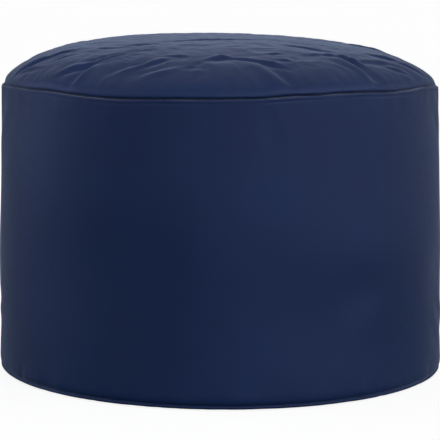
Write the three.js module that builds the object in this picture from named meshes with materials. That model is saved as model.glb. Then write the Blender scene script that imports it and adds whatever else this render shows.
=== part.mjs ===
// A round bean bag footstool, sewn from three panels and filled: a gathered crown,
// a long side panel and a base. Each panel is a solid of its share of the filling.
// Sizes are in millimetres and +Z is up. Angles are in degrees, counted from +X
// towards +Y as seen from above, so 270 is the front.

import * as THREE from 'three';

// Driving dimensions.
const baseRadius = 255.8;
const seamRadius = 250;
const seamHeight = 328.5;
const crownRise = 52.1;

// The axis of the filled bag leans a little: its top seam stands this far along X.
const topShift = -2.4;

// The base panel's edge is a half-round roll between the floor and the base seam.
const baseEdgeRadius = 254.4;
const baseSeamHeight = 4.5;
const baseEdgeSteps = 5;

// The wall turns in a little at its foot, towards the base seam.
const footTurnIn = 2.4;
const footTurnHeight = 6;
const footSteps = 3;

// The seam between wall and crown is a small groove. The wall rounds over into it.
const grooveRadius = 245.8;
const lipRound = 2.5;
const lipSteps = 3;
const lipStart = 8;

// The crown is nearly flat on top and full at its rim, alike on the left and on the right.
const crownRadius = 247.5;
const crownRimHeight = 1.3;
const crownFlatness = 2.69;
const crownFullnessLeft = 1.68;
const crownFullnessRight = 1.73;
const crownLean = -15;

// The cloth is stiff beside its seam, so the folds die away over this distance.
const rimStiffness = 4;

// Fine gathers along both seams, where the longer edge is eased into the shorter. Two
// uneven rows of ripples are laid over each other, so that no two gathers are alike.
const gatherDepth = 0.7;
const gatherReach = 26;
const gathersAround = 23;
const finerGathersAround = 32;
const finerGatherShare = 0.6;
const finerGatherTurn = 57;
const topGatherTurn = 5;

// The side panel's one upright seam, at the back.
const backSeamAngle = 90;
const backSeamDepth = 1.2;

// The gap between neighbouring panels.
const panelGap = 0.3;

// How finely the panels are divided.
const segments = 128;
const crownRings = 28;
const slopeStep = 0.004;

// The top seam rises and dips around the bag: each row is one soft wave.
const seamWaves = [
  { angle: 2, rise: -2.6, reach: 14 },
  { angle: 60, rise: 1.5, reach: 16 },
  { angle: 105, rise: -1.2, reach: 14 },
  { angle: 140, rise: 1.0, reach: 14 },
  { angle: 180, rise: -3.1, reach: 16 },
  { angle: 220, rise: 1.4, reach: 12 },
  { angle: 241, rise: -1.9, reach: 11 },
  { angle: 303, rise: 4.8, reach: 24 },
  { angle: 338, rise: 2.6, reach: 13 },
];

// Soft hollows and swells where the filling has settled behind the wall.
const wallDents = [
  { angle: 20, height: 200, swell: 2.2, reach: 24, tall: 80 },
  { angle: 48, height: 90, swell: -2.4, reach: 20, tall: 60 },
  { angle: 75, height: 250, swell: -1.6, reach: 16, tall: 45 },
  { angle: 118, height: 140, swell: 2.0, reach: 24, tall: 85 },
  { angle: 150, height: 245, swell: -1.8, reach: 14, tall: 50 },
  { angle: 181, height: 140, swell: 1.8, reach: 14, tall: 60 },
  { angle: 186, height: 55, swell: -0.9, reach: 9, tall: 20 },
  { angle: 200, height: 296, swell: -1.4, reach: 12, tall: 30 },
  { angle: 232, height: 130, swell: -2.0, reach: 22, tall: 70 },
  { angle: 262, height: 210, swell: 1.6, reach: 22, tall: 80 },
  { angle: 296, height: 90, swell: -1.8, reach: 18, tall: 55 },
  { angle: 318, height: 160, swell: 1.8, reach: 15, tall: 60 },
  { angle: 345, height: 118, swell: -1.8, reach: 9, tall: 26 },
  { angle: 344, height: 296, swell: -1.2, reach: 11, tall: 28 },
  { angle: 359, height: 130, swell: 1.3, reach: 12, tall: 50 },
];

// The crown's main folds. Each is a straight ridge beside a valley of the same size,
// centred at an angle and at a share of the crown's radius. The ridge lies on the left
// of the heading, which is the fold's own direction as seen from above.
const crownFolds = [
  { angle: 201, share: 0.85, heading: 354, length: 53, width: 8.5, depth: 2.6 },
  { angle: 205, share: 0.73, heading: 2, length: 27, width: 6.8, depth: 1.4 },
  { angle: 205, share: 0.93, heading: 314, length: 35, width: 5.9, depth: 1.4 },
  { angle: 212, share: 0.80, heading: 4, length: 22, width: 5.9, depth: 1.1 },
  { angle: 226, share: 0.88, heading: 360, length: 36, width: 8.5, depth: 2.6 },
  { angle: 230, share: 0.92, heading: 227, length: 33, width: 8.5, depth: 1.8 },
  { angle: 232, share: 0.73, heading: 200, length: 66, width: 5.9, depth: 1.6 },
  { angle: 240, share: 0.58, heading: 204, length: 43, width: 6.8, depth: 1.0 },
  { angle: 244, share: 0.84, heading: 193, length: 39, width: 8.5, depth: 1.4 },
  { angle: 222, share: 0.61, heading: 346, length: 33, width: 5.9, depth: 0.8 },
  { angle: 231, share: 0.50, heading: 3, length: 37, width: 6.8, depth: 1.0 },
  { angle: 267, share: 0.27, heading: 14, length: 84, width: 9.3, depth: 1.3 },
  { angle: 313, share: 0.30, heading: 15, length: 55, width: 7.6, depth: 0.8 },
  { angle: 257, share: 0.70, heading: 347, length: 25, width: 7.6, depth: 1.3 },
  { angle: 272, share: 0.72, heading: 27, length: 29, width: 8.5, depth: 2.1 },
  { angle: 251, share: 0.78, heading: 25, length: 25, width: 7.6, depth: 2.2 },
  { angle: 253, share: 0.87, heading: 190, length: 37, width: 10.2, depth: 1.5 },
  { angle: 264, share: 0.85, heading: 173, length: 18, width: 9.3, depth: 0.9 },
  { angle: 281, share: 0.75, heading: 341, length: 37, width: 6.8, depth: 1.4 },
  { angle: 287, share: 0.81, heading: 343, length: 29, width: 8.5, depth: 1.9 },
  { angle: 286, share: 0.92, heading: 124, length: 41, width: 14.5, depth: 2.3 },
  { angle: 293, share: 0.68, heading: 23, length: 19, width: 5.9, depth: 1.0 },
  { angle: 293, share: 0.78, heading: 349, length: 14, width: 5.9, depth: 1.3 },
  { angle: 316, share: 0.59, heading: 345, length: 48, width: 6.8, depth: 1.4 },
  { angle: 314, share: 0.74, heading: 26, length: 46, width: 7.6, depth: 1.6 },
  { angle: 318, share: 0.80, heading: 314, length: 27, width: 8.5, depth: 2.6 },
  { angle: 325, share: 0.84, heading: 37, length: 46, width: 10.2, depth: 1.8 },
  { angle: 314, share: 0.89, heading: 123, length: 50, width: 13.5, depth: 2.8 },
  { angle: 309, share: 0.87, heading: 138, length: 21, width: 6.8, depth: 0.9 },
  { angle: 338, share: 0.83, heading: 17, length: 26, width: 6.8, depth: 1.9 },
  { angle: 329, share: 0.92, heading: 18, length: 27, width: 6.8, depth: 1.3 },
  { angle: 340, share: 0.91, heading: 11, length: 24, width: 5.9, depth: 1.4 },
  { angle: 342, share: 0.99, heading: 232, length: 19, width: 7.6, depth: 1.6 },
  { angle: 198, share: 0.99, heading: 111, length: 41, width: 7.6, depth: 1.4 },
  { angle: 12, share: 0.74, heading: 40, length: 50, width: 11.0, depth: 2.2 },
  { angle: 25, share: 0.90, heading: 212, length: 40, width: 10.0, depth: 3.0 },
  { angle: 44, share: 0.80, heading: 20, length: 58, width: 11.0, depth: 2.6 },
  { angle: 58, share: 0.90, heading: 248, length: 40, width: 10.0, depth: 2.8 },
  { angle: 75, share: 0.70, heading: 100, length: 44, width: 12.0, depth: 2.0 },
  { angle: 84, share: 0.88, heading: 66, length: 46, width: 10.0, depth: 3.0 },
  { angle: 104, share: 0.84, heading: 300, length: 52, width: 11.0, depth: 2.6 },
  { angle: 118, share: 0.92, heading: 118, length: 34, width: 10.0, depth: 2.8 },
  { angle: 130, share: 0.66, heading: 150, length: 60, width: 13.0, depth: 1.8 },
  { angle: 137, share: 0.87, heading: 318, length: 46, width: 10.0, depth: 3.0 },
  { angle: 154, share: 0.80, heading: 140, length: 48, width: 11.0, depth: 2.4 },
  { angle: 166, share: 0.91, heading: 350, length: 38, width: 10.0, depth: 2.6 },
];

// The crown of the solid holds each fold a little broader and shallower than the cloth does.
const foldBroadening = 1.6;
const foldDepthShare = 0.8;
const foldFade = 0.55;

// The side panel's profile between its two seams, with heights from the floor.
const wallHeights = [22, 42, 66, 94, 124, 156, 190, 224, 256, 284, 306];

const navyCloth = new THREE.MeshStandardMaterial({
  color: 0x272f4c,
  roughness: 0.55,
  metalness: 0,
});

const toRadians = THREE.MathUtils.degToRad;

// The smaller angle between two directions, with its sign.
function angleBetween(angle, other) {
  return THREE.MathUtils.euclideanModulo(angle - other + 180, 360) - 180;
}

function softBump(distance, reach) {
  return Math.exp(-((distance / reach) ** 2));
}

function seamRise(angle) {
  return seamWaves.reduce(
    (rise, wave) => rise + wave.rise * softBump(angleBetween(angle, wave.angle), wave.reach),
    0,
  );
}

function gather(angle, distance) {
  const broad = Math.sin(toRadians(gathersAround * angle));
  const fine = Math.sin(toRadians(finerGathersAround * angle + finerGatherTurn));
  return gatherDepth * (broad + finerGatherShare * fine) * softBump(distance, gatherReach);
}

// A point at a radius about the bag's leaning axis.
function placed(angle, radius, height) {
  const turn = toRadians(angle);
  const shift = (topShift * height) / seamHeight;
  return new THREE.Vector3(shift + radius * Math.cos(turn), radius * Math.sin(turn), height);
}

// The height of the smooth crown over the mean seam, before any fold. The seam's own rise
// and fall dies away towards the middle.
function domeHeight(angle, share) {
  const toRight = (1 + Math.cos(toRadians(angle))) / 2;
  const fullness = THREE.MathUtils.lerp(crownFullnessLeft, crownFullnessRight, toRight);
  const drop = Math.max(0, 1 - share ** crownFlatness);
  return seamRise(angle) * share ** 3 + crownRise * drop ** (1 / fullness);
}

// How far all the folds together lift or lower the crown at a place in plan.
function foldLift(x, y) {
  let lift = 0;
  for (const fold of crownFolds) {
    const turn = toRadians(fold.angle);
    const heading = toRadians(fold.heading);
    const fromX = x - crownRadius * fold.share * Math.cos(turn);
    const fromY = y - crownRadius * fold.share * Math.sin(turn);
    const along = fromX * Math.cos(heading) + fromY * Math.sin(heading);
    const across = fromY * Math.cos(heading) - fromX * Math.sin(heading);
    const side = (2 * across) / (foldBroadening * fold.width);
    const crest = side * Math.exp((1 - side * side) / 2);
    lift += foldDepthShare * fold.depth * crest * softBump(along, foldFade * fold.length);
  }
  return lift;
}

function crownPoint(angle, share) {
  const turn = toRadians(angle);
  const inner = domeHeight(angle, Math.max(0, share - slopeStep));
  const outer = domeHeight(angle, Math.min(1, share + slopeStep));
  const slope = Math.atan2(inner - outer, 2 * slopeStep * crownRadius);
  const radius = crownRadius * share;
  const x = radius * Math.cos(turn);
  const y = radius * Math.sin(turn);
  const rimDistance = crownRadius - radius;
  const fade = 1 - softBump(rimDistance, rimStiffness);
  const lift = foldLift(x, y) * fade + gather(angle, rimDistance - gatherReach / 2) * fade;
  const outward = radius + lift * Math.sin(slope);
  return new THREE.Vector3(
    topShift + crownLean * (1 - share * share) + outward * Math.cos(turn),
    outward * Math.sin(turn),
    seamHeight + domeHeight(angle, share) + lift * Math.cos(slope),
  );
}

function wallSwell(angle, height) {
  let swell = 0;
  for (const dent of wallDents) {
    const around = softBump(angleBetween(angle, dent.angle), dent.reach);
    swell += dent.swell * around * softBump(height - dent.height, dent.tall);
  }
  return swell;
}

// The wall between its seams: its radius runs evenly from base to top, with the dents,
// the gathers at both ends and the upright seam at the back.
function wallPoint(angle, height) {
  const share = (height - baseSeamHeight) / (seamHeight - baseSeamHeight);
  const even = THREE.MathUtils.lerp(baseRadius, seamRadius, share);
  const gathered = gather(angle, height) + gather(angle + topGatherTurn, seamHeight - height);
  const isBackSeam = Math.abs(angleBetween(angle, backSeamAngle)) < 180 / segments;
  const seamDip = isBackSeam ? backSeamDepth : 0;
  const radius = even + wallSwell(angle, height) + gathered - seamDip;
  return placed(angle, radius, height + seamRise(angle) * share);
}

function ring(pointAt) {
  return Array.from({ length: segments }, (_, i) => pointAt((360 * i) / segments));
}

// A closed solid through rings of points, from the centre of its underside, out and up
// its sides, and in again to the centre of its top.
function closedLoft(underside, rings, top) {
  const points = [underside, ...rings.flat(), top];
  const topIndex = points.length - 1;
  const faces = [];
  const at = (row, i) => 1 + row * segments + (i % segments);
  for (let i = 0; i < segments; i += 1) {
    faces.push(0, at(0, i + 1), at(0, i));
    for (let row = 0; row < rings.length - 1; row += 1) {
      faces.push(at(row, i), at(row, i + 1), at(row + 1, i));
      faces.push(at(row, i + 1), at(row + 1, i + 1), at(row + 1, i));
    }
    faces.push(topIndex, at(rings.length - 1, i), at(rings.length - 1, i + 1));
  }
  const geometry = new THREE.BufferGeometry();
  geometry.setFromPoints(points);
  geometry.setIndex(faces);
  return geometry;
}

function panel(name, geometry) {
  const mesh = new THREE.Mesh(geometry, navyCloth.clone());
  mesh.name = name;
  return mesh;
}

function crownPanel() {
  const floor = panelGap / 2;
  const rings = [
    ring((angle) => placed(angle, grooveRadius, seamHeight + seamRise(angle) + floor)),
    ring((angle) => placed(angle, crownRadius, seamHeight + seamRise(angle) + crownRimHeight)),
  ];
  for (let i = crownRings - 1; i > 0; i -= 1) {
    const share = Math.sin((Math.PI / 2) * (i / crownRings));
    rings.push(ring((angle) => crownPoint(angle, share)));
  }
  const underside = new THREE.Vector3(topShift, 0, seamHeight + floor);
  return panel('crown_panel', closedLoft(underside, rings, crownPoint(0, 0)));
}

function sidePanel() {
  const floor = baseSeamHeight + panelGap / 2;
  const rings = [];
  for (let i = 0; i < footSteps; i += 1) {
    const turn = (Math.PI / 2) * (i / footSteps);
    const radius = baseRadius - footTurnIn * (1 - Math.sin(turn));
    rings.push(ring((angle) => placed(angle, radius, floor + footTurnHeight * (1 - Math.cos(turn)))));
  }
  for (const height of [floor + footTurnHeight, ...wallHeights, seamHeight - lipStart]) {
    rings.push(ring((angle) => wallPoint(angle, height)));
  }
  for (let i = 0; i <= lipSteps; i += 1) {
    const turn = (Math.PI / 2) * (i / lipSteps);
    const radius = seamRadius - lipRound * (1 - Math.cos(turn));
    const drop = panelGap / 2 + lipRound * (1 - Math.sin(turn));
    rings.push(ring((angle) => placed(angle, radius, seamHeight + seamRise(angle) - drop)));
  }
  const ceiling = seamHeight - panelGap / 2;
  rings.push(ring((angle) => placed(angle, grooveRadius, ceiling + seamRise(angle))));
  const underside = new THREE.Vector3(0, 0, floor);
  const top = new THREE.Vector3(topShift, 0, ceiling);
  return panel('side_panel', closedLoft(underside, rings, top));
}

function basePanel() {
  const ceiling = baseSeamHeight - panelGap / 2;
  const round = ceiling / 2;
  const rings = [];
  for (let i = 0; i <= baseEdgeSteps; i += 1) {
    const turn = Math.PI * (i / baseEdgeSteps);
    const radius = baseEdgeRadius - round * (1 - Math.sin(turn));
    rings.push(ring((angle) => placed(angle, radius, round * (1 - Math.cos(turn)))));
  }
  const underside = new THREE.Vector3(0, 0, 0);
  const top = new THREE.Vector3(0, 0, ceiling);
  return panel('base_panel', closedLoft(underside, rings, top));
}

const footstool = new THREE.Group();
footstool.add(crownPanel(), sidePanel(), basePanel());

export default footstool;
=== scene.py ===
import math

import bpy
from mathutils import Matrix, Vector, noise


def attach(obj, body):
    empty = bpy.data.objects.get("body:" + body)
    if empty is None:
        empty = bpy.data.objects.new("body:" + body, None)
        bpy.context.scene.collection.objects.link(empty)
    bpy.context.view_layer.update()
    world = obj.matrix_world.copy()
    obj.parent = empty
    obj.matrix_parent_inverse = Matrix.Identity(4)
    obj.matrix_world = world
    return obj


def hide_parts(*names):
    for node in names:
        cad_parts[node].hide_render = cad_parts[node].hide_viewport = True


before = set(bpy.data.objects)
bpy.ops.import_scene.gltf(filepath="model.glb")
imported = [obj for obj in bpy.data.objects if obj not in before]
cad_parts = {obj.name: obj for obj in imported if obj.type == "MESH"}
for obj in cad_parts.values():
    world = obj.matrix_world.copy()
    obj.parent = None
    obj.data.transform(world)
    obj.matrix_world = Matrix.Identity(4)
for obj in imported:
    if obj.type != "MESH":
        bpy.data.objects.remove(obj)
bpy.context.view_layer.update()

print("frame loaded")

# metres and degrees throughout, angles from +X towards +Y seen from above, so 270 is the front

bag = {
    "seamHeight": 0.3285,      # mean height of the seam between wall and crown
    "topShift": -0.0024,       # the filled bag leans this far along X at its top seam
    "grooveRadius": 0.2458,    # where both cloths dive into the top seam
    "baseSeamHeight": 0.0045,
    "seamWobble": 0.0004,      # no sewn line is quite true
}

# the top seam rises and dips around the bag, one row a soft wave: angle, rise, reach in degrees
seamWaves = [
    {"angle": 2, "rise": -0.0026, "reach": 14},
    {"angle": 60, "rise": 0.0015, "reach": 16},
    {"angle": 105, "rise": -0.0012, "reach": 14},
    {"angle": 140, "rise": 0.0010, "reach": 14},
    {"angle": 180, "rise": -0.0031, "reach": 16},
    {"angle": 220, "rise": 0.0014, "reach": 12},
    {"angle": 241, "rise": -0.0019, "reach": 11},
    {"angle": 303, "rise": 0.0048, "reach": 24},
    {"angle": 338, "rise": 0.0026, "reach": 13},
]

# small uneven folds around the bag, each kind with its spacing and its layer of noise
puckers = {
    "seamLine": {"spacing": 0.030, "layer": 1},
    "crownRim": {"spacing": 0.011, "layer": 2},
    "wallTop": {"spacing": 0.012, "layer": 3},
    "wallFoot": {"spacing": 0.009, "layer": 4},
    "underside": {"spacing": 0.011, "layer": 4},
    "rimHeight": {"spacing": 0.035, "layer": 5},
    "rimBulge": {"spacing": 0.020, "layer": 6},
}
puckerNoise = {
    "layerGap": 7.3,
    "coarse": 1.6,
    "fine": 0.7,
    "closer": 2.1,             # the fine folds lie this many times closer together
}


def angleBetween(angle, other):
    return (angle - other + 180) % 360 - 180


def softBump(distance, reach):
    return math.exp(-(distance / reach) ** 2)


def ridgeAndValley(across):  # 1 at the crest of the ridge, -1 in the valley beside it
    return across * math.exp((1 - across * across) / 2)


def compass(angle):
    turn = math.radians(angle)
    return math.cos(turn), math.sin(turn)


def pucker(angle, kind):  # from about -1 to 1
    east, north = compass(angle)
    reach = bag["grooveRadius"] / puckers[kind]["spacing"]
    place = Vector((east * reach, north * reach, puckerNoise["layerGap"] * puckers[kind]["layer"]))
    fine = noise.noise(place * puckerNoise["closer"])
    return puckerNoise["coarse"] * noise.noise(place) + puckerNoise["fine"] * fine


def seamRise(angle):
    waves = sum(w["rise"] * softBump(angleBetween(angle, w["angle"]), w["reach"]) for w in seamWaves)
    return waves + bag["seamWobble"] * pucker(angle, "seamLine")


def placed(angle, radius, height):  # a point about the bag's leaning axis
    east, north = compass(angle)
    shift = bag["topShift"] * height / bag["seamHeight"]
    return Vector((shift + radius * east, radius * north, height))


def deselectAll():
    if bpy.context.mode != "OBJECT":
        bpy.ops.object.mode_set(mode="OBJECT")
    bpy.ops.object.select_all(action="DESELECT")


def makeActive(piece):
    deselectAll()
    piece.select_set(True)
    bpy.context.view_layer.objects.active = piece


def startPiece(name):  # names the primitive that was just added
    piece = bpy.context.object
    piece.name = name
    piece.data.name = name
    return piece


def editAll(piece):  # edit mode with everything selected
    makeActive(piece)
    bpy.ops.object.mode_set(mode="EDIT")
    bpy.ops.mesh.select_all(action="SELECT")


def editRim(piece):  # edit mode with only the open edges selected
    editAll(piece)
    bpy.ops.mesh.select_all(action="DESELECT")
    bpy.ops.mesh.select_mode(type="EDGE")
    bpy.ops.mesh.select_non_manifold()


def extrudeRim(shrink, lift, middle=0.0):  # draws the selected rim in or out about a point on X
    bpy.ops.mesh.extrude_edges_move(TRANSFORM_OT_translate={"value": (0, 0, lift)})
    bpy.ops.transform.resize(value=(shrink, shrink, 1), center_override=(middle, 0, 0))


def turnFacesOut():  # and leaves edit mode
    bpy.ops.mesh.select_all(action="SELECT")
    bpy.ops.mesh.normals_make_consistent(inside=False)
    bpy.ops.object.mode_set(mode="OBJECT")


def closeSheet(piece, steps):  # draws an open rim inwards, ring by ring, and closes it at the middle
    editRim(piece)
    for shrink, lift in steps:
        extrudeRim(shrink, lift, bag["topShift"])
    bpy.ops.mesh.edge_collapse()
    turnFacesOut()


def refine(piece):  # one subdivision, made real
    fine = piece.modifiers.new("fine", "SUBSURF")
    fine.levels = fine.render_levels = 1
    makeActive(piece)
    bpy.ops.object.modifier_apply(modifier=fine.name)


def mapFlat(piece):  # the thread runs straight along X and Y, as it was cut
    layer = piece.data.uv_layers.new(name="thread")
    for corner in piece.data.loops:
        place = piece.data.vertices[corner.vertex_index].co
        layer.data[corner.index].uv = (place.x, place.y)


def finishPiece(piece, nodes=()):
    makeActive(piece)
    bpy.ops.object.transform_apply(location=True, rotation=True, scale=True)
    bpy.ops.object.shade_smooth()
    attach(piece, "root")
    if nodes:
        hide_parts(*nodes)


crown = {
    "radius": 0.2475,
    "rise": 0.0521,
    "flatness": 2.69,        # how flat the middle is
    "fullnessLeft": 1.68,
    "fullnessRight": 1.73,
    "lean": -0.0150,         # the top of the crown stands this far along X
    "sides": 6,              # of the lattice that the round sheet is made from
    "rings": 70,             # of triangles from the middle to the rim
    "slopeStep": 0.004,      # the share of the radius over which the slope is taken
    "foldReach": 0.55,       # a fold fades over this share of its length
    "sewnShare": 0.35,       # the share of each main fold that is there from the start
    "rimHeight": 0.0013,
    "rimUnevenness": 0.35,
    "rimHold": 0.004,        # so far in, the seam keeps the cloth from lifting
    "rimPucker": 0.0005,
    "puckerInset": 0.008,
    "puckerReach": 0.009,
    "rimBulge": 0.0003,      # the cloth rolls over beside its seam
    "bulgeUnevenness": 0.3,
    "bulgeInset": 0.0035,
    "tuckHeight": 0.00015,   # above the seam, where the cloth ends in the groove
    "closing": [(0.8, 0), (0.5, 0)],  # shrink and lift of each ring that closes it beneath
    # how its cloth wrinkles under the pressure of the filling
    "settling": {
        "slack": 0.012,      # cloth to spare, as a share of its width
        "pressure": 1.0,
        "frames": 14,
        "quality": 8,
        "mass": 0.3,
        "stretchStiffness": 15,
        "shearStiffness": 5,
        "bendingStiffness": 2,
        "evening": 80,       # passes that tell the folds from the overall shape
        "mostMove": 0.007,
        "calm": 0.55,        # how much of the folds the steep side loses
        "calmFrom": 0.95,    # share of the radius, as the reach is
        "calmReach": 0.10,
    },
    # how it is creased and crumpled in the end
    "creasing": {
        "share": 0.62,       # the share of each main fold that is creased in
        "narrowing": 0.85,
        "crumple": 0.0008,   # small creases all over the top
        "crumpleScale": 34,
        "ridges": (0.9, 2.1, 3, 1.0, 2.0),  # of their noise: roughness, step, octaves, offset, gain
        "stir": 0.012,       # how far the creases wander
        "stirScale": 28,
        "stirSeed": 7,       # any number but 0, which would stir each run anew
        "calm": 0.75,
        "calmFrom": 0.94,
        "calmReach": 0.12,
        "hold": 0.02,        # the share of the radius that the seam keeps smooth
    },
}

# the crown's main folds, a ridge beside a valley: the ridge lies left of the heading
crownFolds = [
    {"angle": 201, "share": 0.85, "heading": 354, "length": 0.053, "width": 0.0085, "depth": 0.0026},
    {"angle": 205, "share": 0.73, "heading": 2, "length": 0.027, "width": 0.0068, "depth": 0.0014},
    {"angle": 205, "share": 0.93, "heading": 314, "length": 0.035, "width": 0.0059, "depth": 0.0014},
    {"angle": 212, "share": 0.80, "heading": 4, "length": 0.022, "width": 0.0059, "depth": 0.0011},
    {"angle": 226, "share": 0.88, "heading": 360, "length": 0.036, "width": 0.0085, "depth": 0.0026},
    {"angle": 230, "share": 0.92, "heading": 227, "length": 0.033, "width": 0.0085, "depth": 0.0018},
    {"angle": 232, "share": 0.73, "heading": 200, "length": 0.066, "width": 0.0059, "depth": 0.0016},
    {"angle": 240, "share": 0.58, "heading": 204, "length": 0.043, "width": 0.0068, "depth": 0.0010},
    {"angle": 244, "share": 0.84, "heading": 193, "length": 0.039, "width": 0.0085, "depth": 0.0014},
    {"angle": 222, "share": 0.61, "heading": 346, "length": 0.033, "width": 0.0059, "depth": 0.0008},
    {"angle": 231, "share": 0.50, "heading": 3, "length": 0.037, "width": 0.0068, "depth": 0.0010},
    {"angle": 267, "share": 0.27, "heading": 14, "length": 0.084, "width": 0.0093, "depth": 0.0013},
    {"angle": 313, "share": 0.30, "heading": 15, "length": 0.055, "width": 0.0076, "depth": 0.0008},
    {"angle": 257, "share": 0.70, "heading": 347, "length": 0.025, "width": 0.0076, "depth": 0.0013},
    {"angle": 272, "share": 0.72, "heading": 27, "length": 0.029, "width": 0.0085, "depth": 0.0021},
    {"angle": 251, "share": 0.78, "heading": 25, "length": 0.025, "width": 0.0076, "depth": 0.0022},
    {"angle": 253, "share": 0.87, "heading": 190, "length": 0.037, "width": 0.0102, "depth": 0.0015},
    {"angle": 264, "share": 0.85, "heading": 173, "length": 0.018, "width": 0.0093, "depth": 0.0009},
    {"angle": 281, "share": 0.75, "heading": 341, "length": 0.037, "width": 0.0068, "depth": 0.0014},
    {"angle": 287, "share": 0.81, "heading": 343, "length": 0.029, "width": 0.0085, "depth": 0.0019},
    {"angle": 286, "share": 0.92, "heading": 124, "length": 0.041, "width": 0.0145, "depth": 0.0023},
    {"angle": 293, "share": 0.68, "heading": 23, "length": 0.019, "width": 0.0059, "depth": 0.0010},
    {"angle": 293, "share": 0.78, "heading": 349, "length": 0.014, "width": 0.0059, "depth": 0.0013},
    {"angle": 316, "share": 0.59, "heading": 345, "length": 0.048, "width": 0.0068, "depth": 0.0014},
    {"angle": 314, "share": 0.74, "heading": 26, "length": 0.046, "width": 0.0076, "depth": 0.0016},
    {"angle": 318, "share": 0.80, "heading": 314, "length": 0.027, "width": 0.0085, "depth": 0.0026},
    {"angle": 325, "share": 0.84, "heading": 37, "length": 0.046, "width": 0.0102, "depth": 0.0018},
    {"angle": 314, "share": 0.89, "heading": 123, "length": 0.050, "width": 0.0135, "depth": 0.0028},
    {"angle": 309, "share": 0.87, "heading": 138, "length": 0.021, "width": 0.0068, "depth": 0.0009},
    {"angle": 338, "share": 0.83, "heading": 17, "length": 0.026, "width": 0.0068, "depth": 0.0019},
    {"angle": 329, "share": 0.92, "heading": 18, "length": 0.027, "width": 0.0068, "depth": 0.0013},
    {"angle": 340, "share": 0.91, "heading": 11, "length": 0.024, "width": 0.0059, "depth": 0.0014},
    {"angle": 342, "share": 0.99, "heading": 232, "length": 0.019, "width": 0.0076, "depth": 0.0016},
    {"angle": 198, "share": 0.99, "heading": 111, "length": 0.041, "width": 0.0076, "depth": 0.0014},
    {"angle": 12, "share": 0.74, "heading": 40, "length": 0.050, "width": 0.0110, "depth": 0.0022},
    {"angle": 25, "share": 0.90, "heading": 212, "length": 0.040, "width": 0.0100, "depth": 0.0030},
    {"angle": 44, "share": 0.80, "heading": 20, "length": 0.058, "width": 0.0110, "depth": 0.0026},
    {"angle": 58, "share": 0.90, "heading": 248, "length": 0.040, "width": 0.0100, "depth": 0.0028},
    {"angle": 75, "share": 0.70, "heading": 100, "length": 0.044, "width": 0.0120, "depth": 0.0020},
    {"angle": 84, "share": 0.88, "heading": 66, "length": 0.046, "width": 0.0100, "depth": 0.0030},
    {"angle": 104, "share": 0.84, "heading": 300, "length": 0.052, "width": 0.0110, "depth": 0.0026},
    {"angle": 118, "share": 0.92, "heading": 118, "length": 0.034, "width": 0.0100, "depth": 0.0028},
    {"angle": 130, "share": 0.66, "heading": 150, "length": 0.060, "width": 0.0130, "depth": 0.0018},
    {"angle": 137, "share": 0.87, "heading": 318, "length": 0.046, "width": 0.0100, "depth": 0.0030},
    {"angle": 154, "share": 0.80, "heading": 140, "length": 0.048, "width": 0.0110, "depth": 0.0024},
    {"angle": 166, "share": 0.91, "heading": 350, "length": 0.038, "width": 0.0100, "depth": 0.0026},
]


def domeHeight(angle, share):
    toRight = (1 + compass(angle)[0]) / 2
    fullness = crown["fullnessLeft"] + (crown["fullnessRight"] - crown["fullnessLeft"]) * toRight
    drop = max(0.0, 1 - share ** crown["flatness"])
    return seamRise(angle) * share ** 3 + crown["rise"] * drop ** (1 / fullness)


def foldLift(x, y, narrowing=1.0):
    lift = 0.0
    for fold in crownFolds:
        east, north = compass(fold["angle"])
        ahead, aside = compass(fold["heading"])
        fromX = x - crown["radius"] * fold["share"] * east
        fromY = y - crown["radius"] * fold["share"] * north
        along = fromX * ahead + fromY * aside
        across = 2 * (fromY * ahead - fromX * aside) / (fold["width"] * narrowing)
        fade = softBump(along, crown["foldReach"] * fold["length"])
        lift += fold["depth"] * ridgeAndValley(across) * fade
    return lift


def rimLift(angle, toRim):
    uneven = 1 + crown["bulgeUnevenness"] * pucker(angle, "rimBulge")
    return crown["rimBulge"] * uneven * softBump(toRim - crown["bulgeInset"], crown["bulgeInset"])


def crownPoint(angle, share):
    east, north = compass(angle)
    step = crown["slopeStep"]
    fall = domeHeight(angle, max(0.0, share - step)) - domeHeight(angle, min(1.0, share + step))
    slope = math.atan2(fall, 2 * step * crown["radius"])
    radius = crown["radius"] * share
    toRim = crown["radius"] - radius
    gathered = softBump(toRim - crown["puckerInset"], crown["puckerReach"])
    lift = crown["sewnShare"] * foldLift(radius * east, radius * north)
    lift += crown["rimPucker"] * pucker(angle, "crownRim") * gathered
    lift *= 1 - softBump(toRim, crown["rimHold"])
    lift += rimLift(angle, toRim)
    outward = radius + lift * math.sin(slope)
    return Vector((
        bag["topShift"] + crown["lean"] * (1 - share * share) + outward * east,
        outward * north,
        bag["seamHeight"] + domeHeight(angle, share) + lift * math.cos(slope),
    ))


def rimPoint(angle):
    uneven = 1 + crown["rimUnevenness"] * pucker(angle, "rimHeight")
    height = bag["seamHeight"] + seamRise(angle) + crown["rimHeight"] * uneven
    return placed(angle, crown["radius"], height)


def discPlace(x, y):  # from a many-sided lattice to the angle and share of a round one
    if x == 0 and y == 0:
        return 0.0, 0.0
    sector = 360 / crown["sides"]
    half = math.radians(sector / 2)
    angle = math.degrees(math.atan2(y, x)) % 360
    within = (angle - 90) % sector  # the lattice has a corner at 90 degrees
    fromMiddle = math.radians(within - sector / 2)
    share = min(1.0, math.hypot(x, y) * math.cos(fromMiddle) / math.cos(half))
    along = (math.tan(fromMiddle) / math.tan(half) + 1) / 2
    return angle - within + sector * along, share


def evened(piece, passes):  # where its points would lie without the small folds
    copy = piece.copy()
    copy.data = piece.data.copy()
    bpy.context.scene.collection.objects.link(copy)
    smooth = copy.modifiers.new("even", "SMOOTH")
    smooth.iterations = passes
    makeActive(copy)
    bpy.ops.object.modifier_apply(modifier=smooth.name)
    places = [v.co.copy() for v in copy.data.vertices]
    bpy.data.objects.remove(copy)
    return places


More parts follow.
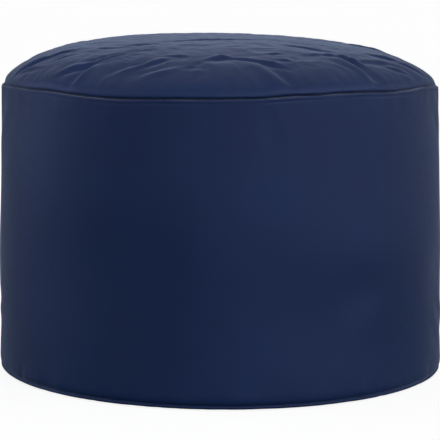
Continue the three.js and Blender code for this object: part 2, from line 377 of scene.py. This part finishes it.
def crownShare(place):  # 0 above the middle of the seam, 1 at the seam
    return math.hypot(place.x - bag["topShift"], place.y) / crown["radius"]


def calmed(share, style):  # what is left of the small folds on the steep side
    return 1 - style["calm"] * softBump(min(0.0, share - style["calmFrom"]), style["calmReach"])


def settleCrown(piece, rim):  # lets the cloth wrinkle, and keeps the shape it was sewn to
    settling = crown["settling"]
    start = [v.co.copy() for v in piece.data.vertices]
    startEven = evened(piece, settling["evening"])
    makeActive(piece)
    bpy.ops.object.modifier_add(type="CLOTH")
    solver = piece.modifiers[-1]
    solver.settings.quality = settling["quality"]
    solver.settings.mass = settling["mass"]
    solver.settings.tension_stiffness = settling["stretchStiffness"]
    solver.settings.compression_stiffness = settling["stretchStiffness"]
    solver.settings.shear_stiffness = settling["shearStiffness"]
    solver.settings.bending_stiffness = settling["bendingStiffness"]
    solver.settings.vertex_group_mass = rim.name
    solver.settings.use_pressure = True
    solver.settings.uniform_pressure_force = settling["pressure"]
    solver.settings.effector_weights.gravity = 0
    solver.settings.shrink_min = -settling["slack"]
    solver.collision_settings.use_collision = False
    solver.point_cache.frame_start = 1
    solver.point_cache.frame_end = settling["frames"] + 1
    for step in range(1, settling["frames"] + 1):
        bpy.context.scene.frame_set(step)
    bpy.ops.object.modifier_apply(modifier=solver.name)
    bpy.context.scene.frame_set(1)
    settledEven = evened(piece, settling["evening"])
    for vertex, before, evenBefore, evenAfter in zip(piece.data.vertices, start, startEven, settledEven):
        fold = vertex.co - before - (evenAfter - evenBefore)
        if fold.length > settling["mostMove"]:
            fold = fold.normalized() * settling["mostMove"]
        vertex.co = before + fold * calmed(crownShare(before), settling)


def creaseCrown(piece):  # sharpens the main folds and crumples the cloth between them
    creasing = crown["creasing"]
    noise.seed_set(creasing["stirSeed"])
    facing = [v.normal.copy() for v in piece.data.vertices]
    for vertex, outward in zip(piece.data.vertices, facing):
        share = min(1.0, crownShare(vertex.co))
        x = vertex.co.x - bag["topShift"] - crown["lean"] * (1 - share * share)
        lift = creasing["share"] * foldLift(x, vertex.co.y, creasing["narrowing"])
        place = vertex.co + creasing["stir"] * noise.noise_vector(vertex.co * creasing["stirScale"])
        place *= creasing["crumpleScale"]
        ridges = noise.ridged_multi_fractal(place, *creasing["ridges"]) - 1.0
        lift += creasing["crumple"] * ridges * calmed(share, creasing)
        lift *= 1 - softBump(1 - share, creasing["hold"])
        vertex.co += outward * lift


def makeCrown():
    deselectAll()
    bpy.ops.mesh.primitive_circle_add(vertices=crown["sides"], radius=1, fill_type="TRIFAN")
    piece = startPiece("crownCloth")
    editAll(piece)
    bpy.ops.mesh.subdivide(number_cuts=crown["rings"] - 1)
    bpy.ops.object.mode_set(mode="OBJECT")
    rim = piece.vertex_groups.new(name="rim")
    for vertex in piece.data.vertices:
        angle, share = discPlace(vertex.co.x, vertex.co.y)
        if share > 1 - 0.5 / crown["rings"]:
            rim.add([vertex.index], 1, "REPLACE")
            vertex.co = rimPoint(angle)
        else:
            vertex.co = crownPoint(angle, share)
    mapFlat(piece)
    settleCrown(piece, rim)
    piece.vertex_groups.clear()
    refine(piece)
    creaseCrown(piece)
    tuck = (bag["grooveRadius"] / crown["radius"], crown["tuckHeight"] - crown["rimHeight"])
    closeSheet(piece, [tuck] + crown["closing"])
    finishPiece(piece, ["crown_panel"])
    return piece


side = {
    "baseRadius": 0.2558,
    "topRadius": 0.2500,
    "columns": 264,
    "rows": 64,
    "profileLength": 0.332,
    "evenRows": 0.85,        # 0 spaces the rows evenly, 1 crowds them at the seams
    "mergeDistance": 0.00005,
    "unevenness": 0.0006,    # how far the filling pushes the cloth about
    "unevenAround": 3.2,
    "unevenUp": 9,
    "creaseFade": 1.6,       # a crease fades over its length divided by this
    "topPucker": 0.0004,
    "topPuckerDrop": 0.012,
    "footPucker": 0.0006,
    "footPuckerHeight": 0.010,
    "backSeamAngle": 90,
    "backSeamDepth": 0.0012,
    "backSeamReach": 0.0022,
    "allowanceSwell": 0.4,   # share of that depth by which the cloth folded in behind lifts one side
    "allowanceOffset": 0.006,
    "allowanceReach": 0.004,
    "closing": [(0.9, 0), (0.5, 0)],  # as the crown's, at both ends
    # the row of stitches pulls a groove into the wall, deeper in some places than in others
    "stitchRow": {
        "drop": 0.0043,      # under the top seam
        "groove": 0.0004,
        "reach": 0.0008,
        "meanPull": 0.6,
        "pullSpread": 0.9,
        "leastPull": 0.25,
        "pullAround": 3.7,
        "pullLayer": 2.2,
    },
}

# soft hollows and swells in the wall: angle, height, swell, reach in degrees, tall
wallDents = [
    {"angle": 20, "height": 0.200, "swell": 0.0022, "reach": 24, "tall": 0.080},
    {"angle": 48, "height": 0.090, "swell": -0.0024, "reach": 20, "tall": 0.060},
    {"angle": 75, "height": 0.250, "swell": -0.0016, "reach": 16, "tall": 0.045},
    {"angle": 118, "height": 0.140, "swell": 0.0020, "reach": 24, "tall": 0.085},
    {"angle": 150, "height": 0.245, "swell": -0.0018, "reach": 14, "tall": 0.050},
    {"angle": 181, "height": 0.140, "swell": 0.0018, "reach": 14, "tall": 0.060},
    {"angle": 186, "height": 0.055, "swell": -0.0009, "reach": 9, "tall": 0.020},
    {"angle": 200, "height": 0.296, "swell": -0.0014, "reach": 12, "tall": 0.030},
    {"angle": 232, "height": 0.130, "swell": -0.0020, "reach": 22, "tall": 0.070},
    {"angle": 262, "height": 0.210, "swell": 0.0016, "reach": 22, "tall": 0.080},
    {"angle": 296, "height": 0.090, "swell": -0.0018, "reach": 18, "tall": 0.055},
    {"angle": 318, "height": 0.160, "swell": 0.0018, "reach": 15, "tall": 0.060},
    {"angle": 345, "height": 0.118, "swell": -0.0018, "reach": 9, "tall": 0.026},
    {"angle": 344, "height": 0.296, "swell": -0.0012, "reach": 11, "tall": 0.028},
    {"angle": 359, "height": 0.130, "swell": 0.0013, "reach": 12, "tall": 0.050},
]

# the wall's two ends in section: distance along the cloth, how far it stands in, its height
wallFoot = [
    (0.0, 0.0022, 0.00015), (0.0012, 0.0013, 0.0009), (0.003, 0.0006, 0.0026),
    (0.006, 0.0002, 0.0056), (0.010, 0.0, 0.0096), (0.016, 0.0, 0.0156),
]
wallTop = [
    (-0.0200, 0.0, -0.0180), (-0.0100, 0.0, -0.0083), (-0.0050, 0.0, -0.0036),
    (-0.0032, 0.0, -0.0020), (-0.0020, 0.0003, -0.0011), (-0.0012, 0.0009, -0.0008),
    (-0.0006, 0.0018, -0.0010), (0.0, 0.0042, -0.0018),
]

# a few creases in the wall: from one angle and height to another, a low ridge beside a hollow
wallCreases = [
    {"angle": 345, "height": 0.088, "toAngle": 356, "toHeight": 0.050, "width": 0.014, "depth": 0.0011},
    {"angle": 340, "height": 0.064, "toAngle": 347, "toHeight": 0.040, "width": 0.016, "depth": 0.0007},
    {"angle": 192, "height": 0.082, "toAngle": 183, "toHeight": 0.070, "width": 0.014, "depth": 0.0010},
    {"angle": 196, "height": 0.306, "toAngle": 187, "toHeight": 0.272, "width": 0.018, "depth": 0.0009},
    {"angle": 344, "height": 0.304, "toAngle": 353, "toHeight": 0.276, "width": 0.018, "depth": 0.0009},
    {"angle": 283, "height": 0.316, "toAngle": 284, "toHeight": 0.284, "width": 0.012, "depth": 0.0005},
    {"angle": 312, "height": 0.118, "toAngle": 304, "toHeight": 0.090, "width": 0.040, "depth": 0.0009},
    {"angle": 30, "height": 0.300, "toAngle": 38, "toHeight": 0.262, "width": 0.016, "depth": 0.0009},
    {"angle": 66, "height": 0.052, "toAngle": 74, "toHeight": 0.090, "width": 0.016, "depth": 0.0010},
    {"angle": 84, "height": 0.300, "toAngle": 80, "toHeight": 0.250, "width": 0.014, "depth": 0.0009},
    {"angle": 97, "height": 0.060, "toAngle": 101, "toHeight": 0.120, "width": 0.016, "depth": 0.0008},
    {"angle": 128, "height": 0.296, "toAngle": 120, "toHeight": 0.258, "width": 0.018, "depth": 0.0010},
    {"angle": 152, "height": 0.058, "toAngle": 144, "toHeight": 0.086, "width": 0.016, "depth": 0.0009},
]


def alongTable(table, distance):
    for low, high in zip(table, table[1:]):
        if distance <= high[0]:
            share = max(0.0, (distance - low[0]) / (high[0] - low[0]))
            return [a + (b - a) * share for a, b in zip(low[1:], high[1:])]
    return table[-1][1:]


def wallPoint(angle, climb):  # climb goes from 0 at the base seam to 1 at the top seam
    distance = climb * side["profileLength"]
    straightFrom = wallFoot[-1][0]
    straightTo = side["profileLength"] + wallTop[0][0]
    low = bag["baseSeamHeight"] + wallFoot[-1][2]
    high = bag["seamHeight"] + wallTop[0][2]
    if distance <= straightFrom:
        inset, height = alongTable(wallFoot, distance)
        height += bag["baseSeamHeight"]
    elif distance >= straightTo:
        inset, height = alongTable(wallTop, distance - side["profileLength"])
        height += bag["seamHeight"]
    else:
        inset = 0.0
        height = low + (high - low) * (distance - straightFrom) / (straightTo - straightFrom)
    up = (height - bag["baseSeamHeight"]) / (bag["seamHeight"] - bag["baseSeamHeight"])
    radius = side["baseRadius"] + (side["topRadius"] - side["baseRadius"]) * up - inset
    radius += wallRelief(angle, height)
    return placed(angle, radius, height + seamRise(angle) * up)


def aroundWall(angle):  # metres along the wall from the angle 0
    return angle * math.radians(side["topRadius"])


def creaseRelief(crease, angle, height):
    runX = aroundWall(angleBetween(crease["toAngle"], crease["angle"]))
    runZ = crease["toHeight"] - crease["height"]
    length = math.hypot(runX, runZ)
    fromX = aroundWall(angleBetween(angle, crease["angle"])) - runX / 2
    fromZ = height - crease["height"] - runZ / 2
    along = (fromX * runX + fromZ * runZ) / length
    across = 2 * (fromZ * runX - fromX * runZ) / length / crease["width"]
    return crease["depth"] * ridgeAndValley(across) * softBump(along, length / side["creaseFade"])


def stitchPull(angle, row):
    east, north = compass(angle)
    scale = row["pullAround"]
    place = Vector((east * scale, north * scale, row["pullLayer"]))
    pull = row["meanPull"] + row["pullSpread"] * noise.noise(place)
    return min(1.0, max(row["leastPull"], pull))


def wallRelief(angle, height):
    relief = 0.0
    for dent in wallDents:
        around = softBump(angleBetween(angle, dent["angle"]), dent["reach"])
        relief += dent["swell"] * around * softBump(height - dent["height"], dent["tall"])
    for crease in wallCreases:
        relief += creaseRelief(crease, angle, height)
    east, north = compass(angle)
    scale = side["unevenAround"]
    place = Vector((east * scale, north * scale, height * side["unevenUp"]))
    relief += side["unevenness"] * noise.noise(place)
    underTop = bag["seamHeight"] - height
    nearTop = softBump(underTop - side["topPuckerDrop"], side["topPuckerDrop"])
    relief += side["topPucker"] * pucker(angle, "wallTop") * nearTop
    nearFoot = softBump(height - side["footPuckerHeight"], side["footPuckerHeight"])
    relief += side["footPucker"] * pucker(angle, "wallFoot") * nearFoot
    row = side["stitchRow"]
    relief -= row["groove"] * stitchPull(angle, row) * softBump(underTop - row["drop"], row["reach"])
    fromBackSeam = aroundWall(angleBetween(angle, side["backSeamAngle"]))
    relief -= side["backSeamDepth"] * softBump(fromBackSeam, side["backSeamReach"])
    folded = softBump(fromBackSeam - side["allowanceOffset"], side["allowanceReach"])
    relief += side["allowanceSwell"] * side["backSeamDepth"] * folded
    return relief


def makeSide():
    deselectAll()
    bpy.ops.mesh.primitive_grid_add(x_subdivisions=side["columns"], y_subdivisions=side["rows"], size=2)
    piece = startPiece("sideCloth")
    layer = piece.data.uv_layers.new(name="thread")
    girth = 2 * math.pi * side["topRadius"]
    for corner in piece.data.loops:
        place = piece.data.vertices[corner.vertex_index].co
        layer.data[corner.index].uv = (place.x * girth / 2, place.y * side["profileLength"] / 2)
    for vertex in piece.data.vertices:
        around = (vertex.co.x + 1) / 2
        climb = (vertex.co.y + 1) / 2
        climb -= side["evenRows"] * math.sin(2 * math.pi * climb) / (2 * math.pi)
        vertex.co = wallPoint(side["backSeamAngle"] + 360 * around, climb)
    editAll(piece)
    bpy.ops.mesh.remove_doubles(threshold=side["mergeDistance"])
    bpy.ops.object.mode_set(mode="OBJECT")
    refine(piece)
    closeSheet(piece, side["closing"])
    finishPiece(piece, ["side_panel"])
    return piece


base = {
    "flatRadius": 0.2240,
    "flatMargin": 0.001,
    # the base cloth in section, from the flat of its underside to the seam: radius and height
    "section": [
        (0.2300, 0.0), (0.2350, 0.0), (0.2390, 0.0), (0.2425, 0.0), (0.2455, 0.0001), (0.2482, 0.0002),
        (0.2506, 0.0003), (0.2527, 0.0007), (0.2541, 0.0015), (0.2549, 0.0026), (0.2548, 0.0037),
        (0.2536, 0.00435),
    ],
    "gather": 0.0011,        # how far the small folds of the underside stand up from the floor
    "gatherRadius": 0.2420,
    "gatherReach": 0.009,
    "gatherBelow": 0.003,    # the turned-up edge has none
    "wander": 0.4,           # how unevenly the folds run, in degrees
    "wanderScale": 60,
}


def makeBase():
    radius, height = base["flatRadius"], 0.0
    deselectAll()
    bpy.ops.mesh.primitive_circle_add(vertices=side["columns"], radius=radius, fill_type="TRIFAN")
    piece = startPiece("baseCloth")
    editRim(piece)
    for nextRadius, nextHeight in base["section"]:
        extrudeRim(nextRadius / radius, nextHeight - height)
        radius, height = nextRadius, nextHeight
    bpy.ops.mesh.extrude_edges_move(TRANSFORM_OT_translate={"value": (0, 0, 0)})
    bpy.ops.mesh.edge_collapse()
    turnFacesOut()
    mapFlat(piece)
    for vertex in piece.data.vertices:
        radius = math.hypot(vertex.co.x, vertex.co.y)
        onFlat = radius < base["flatRadius"] + base["flatMargin"]
        if onFlat or vertex.co.z >= base["gatherBelow"]:
            continue
        angle = math.degrees(math.atan2(vertex.co.y, vertex.co.x))
        angle += base["wander"] * noise.noise(vertex.co * base["wanderScale"])
        gathered = softBump(radius - base["gatherRadius"], base["gatherReach"])
        vertex.co.z += base["gather"] * max(0.0, pucker(angle, "underside")) * gathered
    finishPiece(piece, ["base_panel"])
    return piece


stitch = {
    "count": 396,
    "length": 0.0031,
    "thickness": 0.00045,
    "climb": 0.9830,         # its place up the wall, in the groove under the seam
    "endInset": 0.2,         # shares of the thickness, as the next two are
    "endDome": 0.25,
    "standOut": 0.3,
}


def makeStitchModel():  # one stitch, standing upright, with softened ends
    deselectAll()
    bpy.ops.mesh.primitive_cylinder_add(vertices=6, radius=stitch["thickness"] / 2, depth=stitch["length"])
    piece = startPiece("topStitches")
    editAll(piece)
    bpy.ops.mesh.select_all(action="DESELECT")
    bpy.ops.mesh.select_mode(type="FACE")
    bpy.ops.object.mode_set(mode="OBJECT")
    for face in piece.data.polygons:
        face.select = len(face.vertices) == 6
    bpy.ops.object.mode_set(mode="EDIT")
    bpy.ops.mesh.inset(thickness=stitch["thickness"] * stitch["endInset"],
                       depth=stitch["thickness"] * stitch["endDome"])
    bpy.ops.object.mode_set(mode="OBJECT")
    return piece


def makeStitches():  # one stitch, copied around in the groove
    model = makeStitchModel()
    half = 180 * stitch["length"] / (math.pi * side["topRadius"])
    parts = []
    for step in range(stitch["count"]):
        angle = 360 * step / stitch["count"]
        ahead = wallPoint(angle + half, stitch["climb"])
        behind = wallPoint(angle - half, stitch["climb"])
        part = model.copy()
        part.data = model.data.copy()
        bpy.context.scene.collection.objects.link(part)
        outward = Vector((*compass(angle), 0))
        part.location = (ahead + behind) / 2 + outward * stitch["thickness"] * stitch["standOut"]
        part.rotation_euler = (ahead - behind).to_track_quat("Z", "X").to_euler()
        parts.append(part)
    bpy.data.objects.remove(model)
    makeActive(parts[0])
    for part in parts:
        part.select_set(True)
    bpy.ops.object.join()
    piece = startPiece("topStitches")
    finishPiece(piece)
    mapFlat(piece)
    return piece


cloth = {
    "tone": (0.0002, 0.0145, 0.072, 1.0),
    "paleTone": (0.0009, 0.0215, 0.095, 1.0),
    "toneSpread": 0.55,      # how far the wear, the mottle and the weave's painted shade together turn it pale
    "wornFrom": 0.35,        # of the cloudy noise
    "wornTo": 0.70,
    "mottleShare": 0.5,
    "weaveShadeShare": 0.5,
    "paintedGapShade": 0.25,         # painted shade: the pale share left in the gaps between the threads
    "paintedArchLight": 0.5,         # and how much paler the tops of the threads are painted, as if lit
    "roughness": 0.50,
    "roughnessSpread": 0.05,
    "roughFrom": 0.3,        # of the mottle
    "roughTo": 0.7,
    "gloss": 0.92,
    "glossTint": (0.45, 0.52, 1.0, 1.0),
    "sheen": 0.61,
    "sheenTint": (0.58, 0.70, 1.0, 1.0),
    "sheenRoughness": 0.35,
    "threadPitch": 0.00042,
    "threadWander": 1.5,     # in pitches
    "weaveHeight": 0.00003,
    "crinkleHeight": 0.00012,
    # the noises in the cloth, their scale in repeats to the metre
    "cloudy": {"Scale": 14.0, "Detail": 4.0},
    "mottle": {"Scale": 160.0, "Detail": 3.0},
    "crinkle": {"Scale": 85.0, "Detail": 5.0, "Roughness": 0.55},
    "slub": {"Scale": 90.0, "Detail": 2.0},
}


def addNode(tree, kind, inputs=(), **settings):
    node = tree.nodes.new(kind)
    for name, value in settings.items():
        setattr(node, name, value)
    for name, value in dict(inputs).items():
        if isinstance(value, bpy.types.NodeSocket):
            tree.links.new(value, node.inputs[name])
        else:
            node.inputs[name].default_value = value
    return node


def addMath(tree, operation, first, second=None, third=None):
    given = {i: v for i, v in enumerate((first, second, third)) if v is not None}
    return addNode(tree, "ShaderNodeMath", given, operation=operation).outputs[0]


def addNoise(tree, place, kind):
    return addNode(tree, "ShaderNodeTexNoise", {"Vector": place, **cloth[kind]}).outputs["Fac"]


def weaveGroup():  # plain weave from a thread map in metres: each thread passes over and under; its Tone is painted shade, dark in the gaps between the threads and pale on their tops
    group = bpy.data.node_groups.new("plainWeave", "ShaderNodeTree")
    group.interface.new_socket("Thread Map", in_out="INPUT", socket_type="NodeSocketVector")
    group.interface.new_socket("Thread Pitch", in_out="INPUT", socket_type="NodeSocketFloat")
    group.interface.new_socket("Height", in_out="OUTPUT", socket_type="NodeSocketFloat")
    group.interface.new_socket("Tone", in_out="OUTPUT", socket_type="NodeSocketFloat")
    enter = group.nodes.new("NodeGroupInput")
    leave = group.nodes.new("NodeGroupOutput")
    slub = addNoise(group, enter.outputs["Thread Map"], "slub")
    split = addNode(group, "ShaderNodeSeparateXYZ", {0: enter.outputs["Thread Map"]})
    threads = []
    for axis in ("X", "Y"):  # the number of each thread, and how far it bulges across its width
        count = addMath(group, "DIVIDE", split.outputs[axis], enter.outputs["Thread Pitch"])
        count = addMath(group, "MULTIPLY_ADD", slub, cloth["threadWander"], count)
        across = addMath(group, "MULTIPLY_ADD", addMath(group, "FRACT", count), 2.0, -1.0)
        bulge = addMath(group, "SUBTRACT", 1.0, addMath(group, "MULTIPLY", across, across))
        threads.append((addMath(group, "FLOOR", count), bulge))
    (warpIndex, warp), (weftIndex, weft) = threads
    halfSum = addMath(group, "MULTIPLY", addMath(group, "ADD", warpIndex, weftIndex), 0.5)
    over = addMath(group, "GREATER_THAN", addMath(group, "FRACT", halfSum), 0.25)  # every other crossing
    under = addMath(group, "SUBTRACT", 1.0, over)
    warpArch = addMath(group, "MULTIPLY", addMath(group, "SQRT", weft), warp)
    weftArch = addMath(group, "MULTIPLY", addMath(group, "SQRT", warp), weft)
    warpUp = addMath(group, "MULTIPLY", over, warpArch)
    weftUp = addMath(group, "MULTIPLY", under, weftArch)
    height = addMath(group, "ADD", warpUp, weftUp)
    # painted shade: dark in the gaps between the threads, pale where they arch up
    tone = addMath(group, "MULTIPLY_ADD", height, cloth["paintedArchLight"], cloth["paintedGapShade"])
    group.links.new(height, leave.inputs["Height"])
    group.links.new(tone, leave.inputs["Tone"])
    return group


def clothMaterial(name, weave):
    material = bpy.data.materials.new(name)
    material.use_nodes = True
    tree = material.node_tree
    shader = tree.nodes["Principled BSDF"]
    shader.inputs["Specular IOR Level"].default_value = cloth["gloss"]
    shader.inputs["Specular Tint"].default_value = cloth["glossTint"]
    shader.inputs["Sheen Weight"].default_value = cloth["sheen"]
    shader.inputs["Sheen Tint"].default_value = cloth["sheenTint"]
    shader.inputs["Sheen Roughness"].default_value = cloth["sheenRoughness"]
    thread = addNode(tree, "ShaderNodeUVMap", uv_map="thread").outputs[0]
    place = addNode(tree, "ShaderNodeTexCoord").outputs["Object"]
    woven = addNode(tree, "ShaderNodeGroup", node_tree=weave)
    tree.links.new(thread, woven.inputs["Thread Map"])
    woven.inputs["Thread Pitch"].default_value = cloth["threadPitch"]
    mottle = addNoise(tree, place, "mottle")
    cloudy = addNoise(tree, place, "cloudy")
    worn = addNode(tree, "ShaderNodeMapRange", {
        "Value": cloudy, "From Min": cloth["wornFrom"], "From Max": cloth["wornTo"]})
    grain = addMath(tree, "MULTIPLY_ADD", mottle, cloth["mottleShare"], worn.outputs[0])
    # the weave's tone adds painted shade between the threads to the random wear and mottle
    shade = addMath(tree, "MULTIPLY_ADD", woven.outputs["Tone"], cloth["weaveShadeShare"], grain)
    shade = addMath(tree, "MULTIPLY", shade, cloth["toneSpread"])
    tone = addNode(tree, "ShaderNodeMix", {"Factor": shade, "A": cloth["tone"], "B": cloth["paleTone"]},
                   data_type="RGBA")
    tree.links.new(tone.outputs["Result"], shader.inputs["Base Color"])
    rough = addNode(tree, "ShaderNodeMapRange", {
        "Value": mottle, "From Min": cloth["roughFrom"], "From Max": cloth["roughTo"],
        "To Min": cloth["roughness"] - cloth["roughnessSpread"],
        "To Max": cloth["roughness"] + cloth["roughnessSpread"]})
    tree.links.new(rough.outputs[0], shader.inputs["Roughness"])
    crinkle = addNoise(tree, place, "crinkle")
    crinkled = addNode(tree, "ShaderNodeBump", {
        "Height": crinkle, "Strength": 1.0, "Distance": cloth["crinkleHeight"]})
    threaded = addNode(tree, "ShaderNodeBump", {
        "Height": woven.outputs["Height"], "Strength": 1.0, "Distance": cloth["weaveHeight"],
        "Normal": crinkled.outputs[0]})
    tree.links.new(threaded.outputs[0], shader.inputs["Normal"])
    return material


crownCloth = makeCrown()
print("crown", len(crownCloth.data.polygons))
sideCloth = makeSide()
print("side", len(sideCloth.data.polygons))
baseCloth = makeBase()
print("base", len(baseCloth.data.polygons))
topStitches = makeStitches()
print("stitches", len(topStitches.data.polygons))
plainWeave = weaveGroup()
for piece in (crownCloth, sideCloth, baseCloth, topStitches):
    piece.data.materials.clear()
    piece.data.materials.append(clothMaterial(piece.name + "Finish", plainWeave))
print("cloth dyed")

studio = {
    "cameraPlace": (-0.0013, -2.5025, 0.5239),
    "cameraPitch": 8.112,
    "cameraRoll": 0.384,
    "lens": 178.2,
    "sensorWidth": 36,       # millimetres, as the lens is
    "floorSize": 40,
    "floorHeight": -0.0003,
    "floorSeen": 0.30,       # the floor as the camera sees it
    "floorGlow": 0.85,
    "floorBounce": 0.03,     # the floor as it lights the bag
    "skyFrontLeft": 0.59,
    "skySeen": 1.0,          # the sky as the camera sees it
    "boxElevation": 15,
    "boxAim": 0.2,           # height of the point that the soft lights face
}

# the rest of the sky: the axis along which it changes, from where to where, and its strength there
skyParts = [
    {"axis": "X", "low": -0.35, "high": 0.35, "strength": 1.30},  # front right
    {"axis": "Y", "low": -0.3, "high": 0.3, "strength": 0.09},    # back
    {"axis": "Z", "low": 0.5, "high": 0.85, "strength": 0.40},    # above
]

# soft lights: angle from the front to the right, distance, size, power, colour
softboxes = [
    {"name": "leftBox", "azimuth": -100, "distance": 2.2, "size": (1.0, 1.4), "power": 7.2,
     "tint": (0.72, 0.82, 1)},
    {"name": "rightBox", "azimuth": 110, "distance": 2.2, "size": (1.0, 1.4), "power": 3.3,
     "tint": (0.85, 0.90, 1)},
    {"name": "frontBox", "azimuth": 66, "distance": 2.2, "size": (1.2, 1.2), "power": 0.95,
     "tint": (1, 1, 1)},
]


def makeCamera():
    lens = bpy.data.cameras.new("camera")
    lens.lens = studio["lens"]
    lens.sensor_width = studio["sensorWidth"]
    camera = bpy.data.objects.new("camera", lens)
    bpy.context.scene.collection.objects.link(camera)
    aim = Matrix.Rotation(math.radians(90 - studio["cameraPitch"]), 4, "X")
    roll = Matrix.Rotation(math.radians(studio["cameraRoll"]), 4, "Z")
    camera.matrix_world = Matrix.Translation(studio["cameraPlace"]) @ aim @ roll
    bpy.context.scene.camera = camera


def grey(level):
    return level, level, level, 1


def makeFloor():
    deselectAll()
    bpy.ops.mesh.primitive_plane_add(size=studio["floorSize"], location=(0, 0, studio["floorHeight"]))
    floor = startPiece("floor")
    material = bpy.data.materials.new("paleFloor")
    material.use_nodes = True
    tree = material.node_tree
    tree.nodes.clear()
    seen = addNode(tree, "ShaderNodeBsdfDiffuse", {"Color": grey(studio["floorSeen"])})
    glow = addNode(tree, "ShaderNodeEmission", {"Strength": studio["floorGlow"]})
    pale = addNode(tree, "ShaderNodeAddShader", {0: seen.outputs[0], 1: glow.outputs[0]})
    bounce = addNode(tree, "ShaderNodeBsdfDiffuse", {"Color": grey(studio["floorBounce"])})
    path = addNode(tree, "ShaderNodeLightPath")
    mixed = addNode(tree, "ShaderNodeMixShader", {
        0: path.outputs["Is Camera Ray"], 1: bounce.outputs[0], 2: pale.outputs[0]})
    addNode(tree, "ShaderNodeOutputMaterial", {"Surface": mixed.outputs[0]})
    floor.data.materials.append(material)


def makeSky():  # soft light from all round, stronger from the front right
    world = bpy.data.worlds.new("studioSky")
    bpy.context.scene.world = world
    world.use_nodes = True
    tree = world.node_tree
    towards = addNode(tree, "ShaderNodeTexCoord").outputs["Generated"]
    direction = addNode(tree, "ShaderNodeSeparateXYZ", {0: towards})
    strength = studio["skyFrontLeft"]
    for part in skyParts:
        turned = addNode(tree, "ShaderNodeMapRange", {
            "Value": direction.outputs[part["axis"]], "From Min": part["low"], "From Max": part["high"],
        }, interpolation_type="SMOOTHSTEP")
        blend = addNode(tree, "ShaderNodeMix", {
            "Factor": turned.outputs[0], "A": strength, "B": part["strength"]})
        strength = blend.outputs["Result"]
    path = addNode(tree, "ShaderNodeLightPath")
    shown = addNode(tree, "ShaderNodeMix", {
        "Factor": path.outputs["Is Camera Ray"], "A": strength, "B": studio["skySeen"]})
    tree.links.new(shown.outputs["Result"], tree.nodes["Background"].inputs["Strength"])
    tree.nodes["Background"].inputs["Color"].default_value = grey(1)


def makeSoftbox(softbox):
    light = bpy.data.lights.new(softbox["name"], "AREA")
    light.shape = "RECTANGLE"
    light.size, light.size_y = softbox["size"]
    light.energy = softbox["power"]
    light.color = softbox["tint"]
    box = bpy.data.objects.new(softbox["name"], light)
    bpy.context.scene.collection.objects.link(box)
    away = math.radians(softbox["azimuth"])
    up = math.radians(studio["boxElevation"])
    flat = softbox["distance"] * math.cos(up)
    rise = softbox["distance"] * math.sin(up)
    middle = Vector((0, 0, studio["boxAim"]))
    place = middle + Vector((flat * math.sin(away), -flat * math.cos(away), rise))
    box.location = place
    box.rotation_euler = (middle - place).to_track_quat("-Z", "Y").to_euler()


makeCamera()
makeFloor()
makeSky()
for softbox in softboxes:
    makeSoftbox(softbox)
bpy.context.scene.view_settings.view_transform = "Standard"
print("studio ready")
